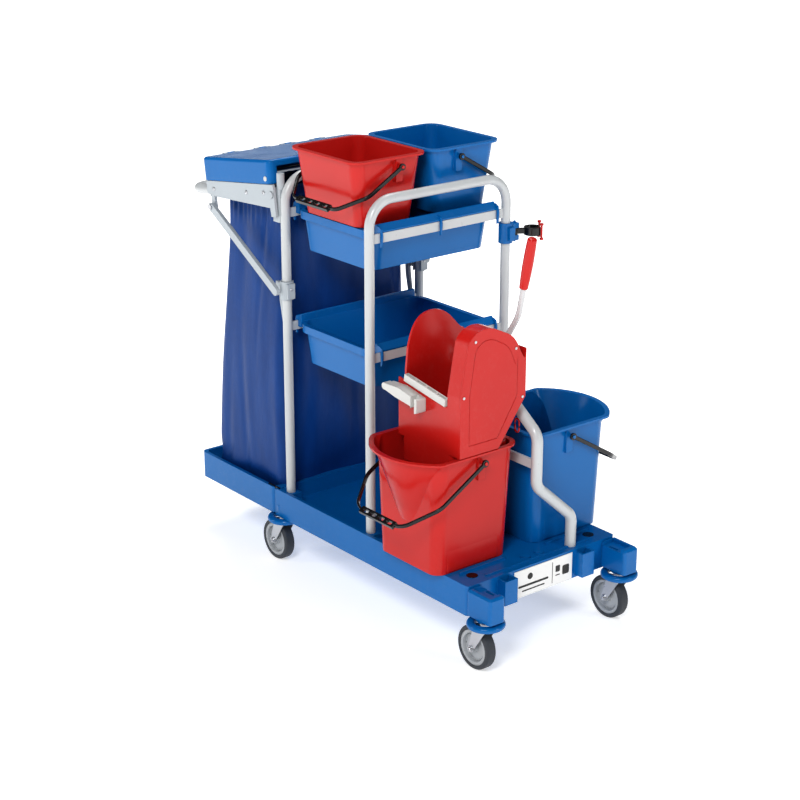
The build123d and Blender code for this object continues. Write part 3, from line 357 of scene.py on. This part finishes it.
def smooth_step(t):
    """Runs from 0 to 1 with a level start and end."""
    t = max(0.0, min(1.0, t))
    return t * t * (3 - 2 * t)


def bell(t, centre, width):
    return math.exp(-((t - centre) / width) ** 2)


def wrap(du):
    """The short way round the bag."""
    return (du + 0.5) % 1.0 - 0.5


def hanging_folds(count, seed):
    """Folds that run down the cloth: place, width, depth, lean, where each is deepest, and its reach."""
    draw = random.Random(seed)
    folds = []
    for i in range(count):
        place = (i + draw.uniform(-0.45, 0.45)) / count
        width, depth = draw.uniform(0.006, 0.024), draw.uniform(0.0012, 0.0058)
        lean, high, reach = draw.uniform(-0.05, 0.05), draw.uniform(0.05, 0.95), draw.uniform(0.16, 0.45)
        folds.append((place, width, depth, lean, high, reach))
    return folds


def fold_depth(u, t, folds):
    """How far the folds lift the cloth at share u round the bag and share t of its height."""
    total = 0.0
    for place, width, depth, lean, high, reach in folds:
        du = wrap(u - place - lean * (t - high))
        if abs(du) < 5 * width:
            crest = 0.55 * bell(du, 1.7 * width, width * 1.3)
            total += depth * bell(t, high, reach) * (crest - bell(du, 0, width))
    return total


def gather_wave(u):
    return math.sin(2 * math.pi * GATHERS * u + 1.6 * math.sin(9 * u))


def cloth_lift(u, t, n, folds):
    """How far the cloth stands out: folds, slack at the foot, belly and sag, and gathers at the wire."""
    free = smooth_step((1.0 - t) / 0.05)
    gather = 0.0022 * gather_wave(u) * smooth_step((t - 0.86) / 0.12)
    slack = 0.0050 * math.sin(34 * t + 2.4 * math.sin(2 * math.pi * 3 * u)) * bell(t, 0.03, 0.07)
    face = abs(n[0]) ** 3 + abs(n[1]) ** 3
    belly = 0.007 * math.sin(math.pi * min(1.0, t * 1.2)) * face
    sag = 0.004 * math.sin(2 * math.pi * (2 * u + 0.4 * t) + 1.1) * math.sin(math.pi * t)
    return (fold_depth(u, t, folds) + slack + belly + sag) * free + gather * free


def bag_side(base, foot, folds):
    """Rings of points from the foot of the bag up to its wire."""
    wire_cx, wire_hx, wire_hy = WIRE
    vertices = []
    for j in range(LEVELS + 1):
        t = j / LEVELS
        ease = 0.35 * t + 0.65 * smooth_step(t)
        for i in range(AROUND):
            u = i / AROUND
            top_x, top_y, n = loop_point(u, wire_cx, wire_hx - WIRE_GAP, wire_hy - WIRE_GAP, 0.014)
            rim = on_holder(top_x, top_y, FRAME_LEVEL - 0.006)
            x, y, n = loop_point(u, *base, 0.022)
            x += (rim.x - x) * ease
            y += (rim.y - y) * ease
            lift = cloth_lift(u, t, n, folds)
            vertices.append((x + n[0] * lift, y + n[1] * lift, foot + (rim.z - foot) * t))
    return vertices


# Section of the hem: how far outside the wire, and how far above it.
BAG_HEM = [(-0.0055, -0.004), (-0.0045, 0.0035), (0.0, 0.0058), (0.0045, 0.0035), (0.0056, -0.003),
           (0.0060, -0.012), (0.0056, -0.021)]


def bag_hem():
    """Rings of points over the wire and down its outside."""
    wire_cx, wire_hx, wire_hy = WIRE
    vertices = []
    for out, up in BAG_HEM:
        for i in range(AROUND):
            u = i / AROUND
            x, y, n = loop_point(u, wire_cx, wire_hx + out, wire_hy + out, 0.018)
            ruffle = 0.0007 * gather_wave(u)
            p = on_holder(x + n[0] * ruffle, y + n[1] * ruffle, FRAME_LEVEL + up + 0.6 * ruffle)
            vertices.append(tuple(p))
    return vertices


def close_foot(vertices, faces, middle, foot):
    """Floor of the bag: rings that shrink to a point, slightly rippled."""
    inner = list(range(AROUND))
    for share in (0.75, 0.5, 0.25):
        ring = []
        for i in range(AROUND):
            x, y, z = vertices[i]
            ring.append(len(vertices))
            ripple = 0.0012 * (1 + math.sin(70 * x + 3 * math.sin(40 * y)))
            vertices.append((middle + (x - middle) * share, y * share, foot + ripple))
        for i in range(AROUND):
            k = (i + 1) % AROUND
            faces.append((inner[k], inner[i], ring[i], ring[k]))
        inner = ring
    tip = len(vertices)
    vertices.append((middle, 0.0, foot + 0.001))
    for i in range(AROUND):
        faces.append((inner[(i + 1) % AROUND], inner[i], tip))


def apply_modifiers(obj):
    depsgraph = bpy.context.evaluated_depsgraph_get()
    mesh = bpy.data.meshes.new_from_object(obj.evaluated_get(depsgraph))
    obj.modifiers.clear()
    obj.data = mesh


def make_bag():
    """Fabric bag: gathered over its wire frame, slack and folded below, resting in the tray."""
    low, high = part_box("bag")
    base = ((low.x + high.x) / 2 + 0.001, (high.x - low.x) / 2 - 0.002, high.y - 0.002)
    foot = low.z + 0.001
    vertices = bag_side(base, foot, hanging_folds(FOLD_COUNT, FOLD_SEED)) + bag_hem()
    faces = []
    for j in range(LEVELS + len(BAG_HEM)):
        for i in range(AROUND):
            k = (i + 1) % AROUND
            faces.append((j * AROUND + i, j * AROUND + k, (j + 1) * AROUND + k, (j + 1) * AROUND + i))
    close_foot(vertices, faces, base[0], foot)
    bag = piece("bag_shell", vertices, faces, "bag_fabric", "base", replaces=("bag",))
    thick = bag.modifiers.new("cloth", "SOLIDIFY")
    thick.thickness = CLOTH_THICK
    thick.offset = 0.0
    apply_modifiers(bag)
    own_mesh(bag)


make_bag()


# ------------------------------------------------------------ detail pieces
def ring_of(point, tangent, radius, sides):
    """Circle of points round a line, square to its tangent."""
    side = tangent.cross(Vector((0, 0, 1)))
    if side.length < 1e-6:
        side = tangent.cross(Vector((1, 0, 0)))
    side.normalize()
    lift = side.cross(tangent).normalized()
    return [point + side * radius * math.cos(2 * math.pi * i / sides)
            + lift * radius * math.sin(2 * math.pi * i / sides) for i in range(sides)]


def smooth_loop(points, steps):
    """Closed Catmull-Rom line through the points."""
    pts = [Vector(p) for p in points]
    n = len(pts)
    line = []
    for i in range(n):
        a, b, c, d = pts[i - 1], pts[i], pts[(i + 1) % n], pts[(i + 2) % n]
        for k in range(steps):
            t = k / steps
            line.append(0.5 * ((2 * b) + (c - a) * t + (2 * a - 5 * b + 4 * c - d) * t * t
                               + (3 * b - a - 3 * c + d) * t ** 3))
    return line


def bead(name, points, radius, slot, body, steps, sides=10):
    """Smooth round loop along a closed line of points."""
    line = smooth_loop(points, steps)
    vertices, faces = [], []
    count = len(line)
    for i, p in enumerate(line):
        vertices += ring_of(p, (line[(i + 1) % count] - line[i - 1]).normalized(), radius, sides)
        j = (i + 1) % count
        for k in range(sides):
            m = (k + 1) % sides
            faces.append((i * sides + k, i * sides + m, j * sides + m, j * sides + k))
    obj = piece(name, vertices, faces, slot, body)
    tidy_mesh(obj)
    obj.data.set_sharp_from_angle(angle=math.radians(50))


def turned(name, at, axis, profile, slot, body, sides=32):
    """Small turned piece: a profile of (radius, height) pairs spun about an axis."""
    axis = Vector(axis).normalized()
    turn = Vector((0, 0, 1)).rotation_difference(axis)
    vertices, faces = [], []
    for radius, height in profile:
        for x, y in disc(radius, sides):
            vertices.append(Vector(at) + turn @ Vector((x, y, height)))
    for j in range(len(profile) - 1):
        for i in range(sides):
            k = (i + 1) % sides
            faces.append((j * sides + i, j * sides + k, (j + 1) * sides + k, (j + 1) * sides + i))
    faces.append(tuple(range(sides))[::-1])
    faces.append(tuple((len(profile) - 1) * sides + i for i in range(sides)))
    obj = piece(name, vertices, faces, slot, body)
    tidy_mesh(obj)
    obj.data.set_sharp_from_angle(angle=math.radians(35))


def rivet_profile(radius, height):
    """Low head with a dimple, from just under the surface that it sits on."""
    return [(radius, -0.0006), (radius, height * 0.35), (radius * 0.86, height * 0.75),
            (radius * 0.55, height), (radius * 0.42, height), (radius * 0.36, height * 0.55),
            (radius * 0.05, height * 0.55)]


def plate(name, outline, at, thick, slot, body):
    """Thin flat mark on the front label: an outline in Y and Z, raised along X."""
    n = len(outline)
    x, y, z = at
    vertices = [(x, y + a, z + b) for a, b in outline] + [(x + thick, y + a, z + b) for a, b in outline]
    faces = [tuple(range(n))[::-1], tuple(range(n, 2 * n))]
    faces += [(i, (i + 1) % n, n + (i + 1) % n, n + i) for i in range(n)]
    tidy_mesh(piece(name, vertices, faces, slot, body, smooth=False))


def rounded(w, h, r, steps=6):
    """Outline of a rounded rectangle about the origin."""
    corners = [(w / 2 - r, h / 2 - r, 0), (-w / 2 + r, h / 2 - r, 1), (-w / 2 + r, -h / 2 + r, 2),
               (w / 2 - r, -h / 2 + r, 3)]
    points = []
    for cx, cy, quarter in corners:
        for k in range(steps + 1):
            a = math.pi / 2 * (quarter + k / steps)
            points.append((cx + r * math.cos(a), cy + r * math.sin(a)))
    return points


def disc(radius, steps=36):
    """Outline of a circle about the origin."""
    return [(radius * math.cos(2 * math.pi * i / steps), radius * math.sin(2 * math.pi * i / steps))
            for i in range(steps)]


MARK_SINK = 0.0002        # marks and small heads start this far under the surface
MARK_THICK = 0.0005
SIDES = ((-1, "right"), (1, "left"))
FACES = ((-1, "a"), (1, "b"))


def make_label():
    """Generic marks on the front plate: a dot, two bars, a divider and plain fields."""
    low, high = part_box("label_plate")
    mid_z = (low.z + high.z) / 2
    marks = [
        ("dot", disc(0.0075), -0.040, 0.012),
        ("bar_long", rounded(0.088, 0.0050, 0.002), -0.030, -0.007),
        ("bar_short", rounded(0.066, 0.0030, 0.001), -0.030, -0.0185),
        ("divider", rounded(0.0014, 0.050, 0.0004), 0.026, 0.0),
        ("field_small", rounded(0.013, 0.015, 0.002), 0.042, 0.006),
        ("field_large", rounded(0.020, 0.022, 0.004), 0.066, -0.002),
        ("field_bar", rounded(0.013, 0.0024, 0.0008), 0.042, -0.009),
    ]
    for name, outline, y, z in marks:
        at = (high.x - MARK_SINK, y, mid_z + z)
        plate("label_" + name, outline, at, MARK_THICK, "black_plastic", "base")


def outer_face(node, side):
    """Y of a node's right or left face."""
    low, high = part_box(node)
    return low.y if side < 0 else high.y


def make_rivets():
    """Screw and rivet heads on the lid, the brackets and the sliding collars."""
    lid_head = rivet_profile(0.0058, 0.0018)
    bracket_head = rivet_profile(0.0048, 0.0022)
    collar_head = rivet_profile(0.0034, 0.0016)
    for side, name in SIDES:
        out = (0, side, 0)
        at = on_holder(-0.018, outer_face("lid", side), 0.036)
        turned(f"lid_rivet_{name}", at, out, lid_head, "white_plastic", "lid")
        face = outer_face(f"bracket_{name}", side)
        for i, (x, z) in enumerate(((-0.030, 0.004), (-0.100, 0.002), (-0.236, 0.004))):
            at = on_holder(x, face, z)
            turned(f"bracket_rivet_{name}_{i}", at, out, bracket_head, "zinc_steel", "bag_holder")
        low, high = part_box(f"collar_{name}")
        centre = (low + high) / 2
        at = (high.x - MARK_SINK, centre.y, centre.z + 0.004)
        turned(f"collar_screw_{name}", at, (1, 0, 0), collar_head, "zinc_steel", f"collar_{name}")


RING_RADIUS = 0.0285      # raised ring on a wheel's web, and how far from the wheel's middle plane it lies
RING_OUT = 0.0049
RING_BEAD = 0.0012
RING_POINTS = 28
NUT_HEAD = rivet_profile(0.0046, 0.0020)


def make_wheel_trim():
    """Raised ring on both faces of each wheel, and a six-sided nut at both ends of each axle."""
    for end in ("front", "rear"):
        for _, name in SIDES:
            wheel, fork = f"castor_wheel_{end}_{name}", f"castor_fork_{end}_{name}"
            low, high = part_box(wheel)
            centre = (low + high) / 2
            for way, letter in FACES:
                loop = [(centre.x + x, centre.y + way * RING_OUT, centre.z + z)
                        for x, z in disc(RING_RADIUS, RING_POINTS)]
                ring = f"wheel_ring_{end}_{name}_{letter}"
                bead(ring, loop, RING_BEAD, "wheel_grey", wheel, steps=2, sides=8)
            for way, letter in FACES:
                nut = f"axle_nut_{end}_{name}_{letter}"
                at = (centre.x, outer_face(fork, way), centre.z)
                turned(nut, at, (0, way, 0), NUT_HEAD, "zinc_steel", fork, sides=6)


PULL_LEVEL = 0.480        # height of the pull loop, its half width, and its wire
PULL_HALF = 0.006
PULL_WIRE = 0.0022


def make_press_loop():
    """Small red pull loop that hangs beside the press stand."""
    low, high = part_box("press_body")
    x, y = high.x - 0.024, high.y + 0.0035
    outline = [(-PULL_HALF, 0.011), (0.0, 0.015), (PULL_HALF, 0.011), (PULL_HALF, -0.010), (0.0, -0.015),
               (-PULL_HALF, -0.010)]
    points = [(x + a, y, PULL_LEVEL + b) for a, b in outline]
    bead("press_loop", points, PULL_WIRE, "red_plastic", "base", steps=6)


make_label()
make_rivets()
make_wheel_trim()
make_press_loop()


# ------------------------------------------------------------ floor, lights
FLOOR_SIZE = 30.0
GLOW_RANGE = (("From Min", 0.6), ("From Max", 2.0), ("To Min", 0.42), ("To Max", 1.0))
WORLD_LEVEL = 0.12
LIGHT_AIM = Vector((0.0, 0.0, 0.5))
LIGHTS = [
    ("key", (2.3, -2.9, 3.3), (1.2, 1.2), 98.0),
    ("side", (-2.2, -3.4, 1.5), (1.0, 2.0), 28.0),
    ("front", (4.2, 1.4, 1.9), (1.2, 2.0), 34.0),
    ("top", (-1.0, 1.0, 3.8), (1.8, 1.8), 70.0),
]


def floor_material():
    """White that glows more away from the cart, so that it stays white where the lights fall off."""
    m, tree, shader = new_material("floor_white")
    shader.inputs["Base Color"].default_value = (0.90, 0.90, 0.90, 1.0)
    shader.inputs["Roughness"].default_value = 0.60
    shader.inputs["Specular IOR Level"].default_value = 0.1
    shader.inputs["Emission Color"].default_value = (1.0, 1.0, 1.0, 1.0)
    place = add(tree, "ShaderNodeTexCoord")
    reach = add(tree, "ShaderNodeVectorMath", operation="LENGTH")
    tree.links.new(place.outputs["Object"], reach.inputs[0])
    glow = add(tree, "ShaderNodeMapRange")
    for socket, value in GLOW_RANGE:
        glow.inputs[socket].default_value = value
    tree.links.new(reach.outputs["Value"], glow.inputs["Value"])
    tree.links.new(glow.outputs["Result"], shader.inputs["Emission Strength"])
    return m


def make_stage():
    """Flat white floor under a dim white sky."""
    mesh = bpy.data.meshes.new("floor")
    corners = [(-FLOOR_SIZE, -FLOOR_SIZE, 0), (FLOOR_SIZE, -FLOOR_SIZE, 0), (FLOOR_SIZE, FLOOR_SIZE, 0),
               (-FLOOR_SIZE, FLOOR_SIZE, 0)]
    mesh.from_pydata(corners, [], [(0, 1, 2, 3)])
    mesh.materials.append(floor_material())
    floor = bpy.data.objects.new("floor", mesh)
    scene.collection.objects.link(floor)
    world = bpy.data.worlds.new("world")
    world.use_nodes = True
    world.node_tree.nodes["Background"].inputs["Color"].default_value = (1.0, 1.0, 1.0, 1.0)
    world.node_tree.nodes["Background"].inputs["Strength"].default_value = WORLD_LEVEL
    scene.world = world


def area_light(name, at, size, power):
    """Rectangular light aimed at the cart's middle."""
    data = bpy.data.lights.new(name, "AREA")
    data.shape = "RECTANGLE"
    data.size = size[0]
    data.size_y = size[1]
    data.energy = power
    light = bpy.data.objects.new(name, data)
    light.location = at
    light.rotation_mode = "QUATERNION"
    light.rotation_quaternion = (LIGHT_AIM - Vector(at)).to_track_quat("-Z", "Y")
    scene.collection.objects.link(light)


make_stage()
for name, at, size, power in LIGHTS:
    area_light(name, at, size, power)
scene.view_settings.view_transform = "Standard"
scene.view_settings.look = "Medium High Contrast"
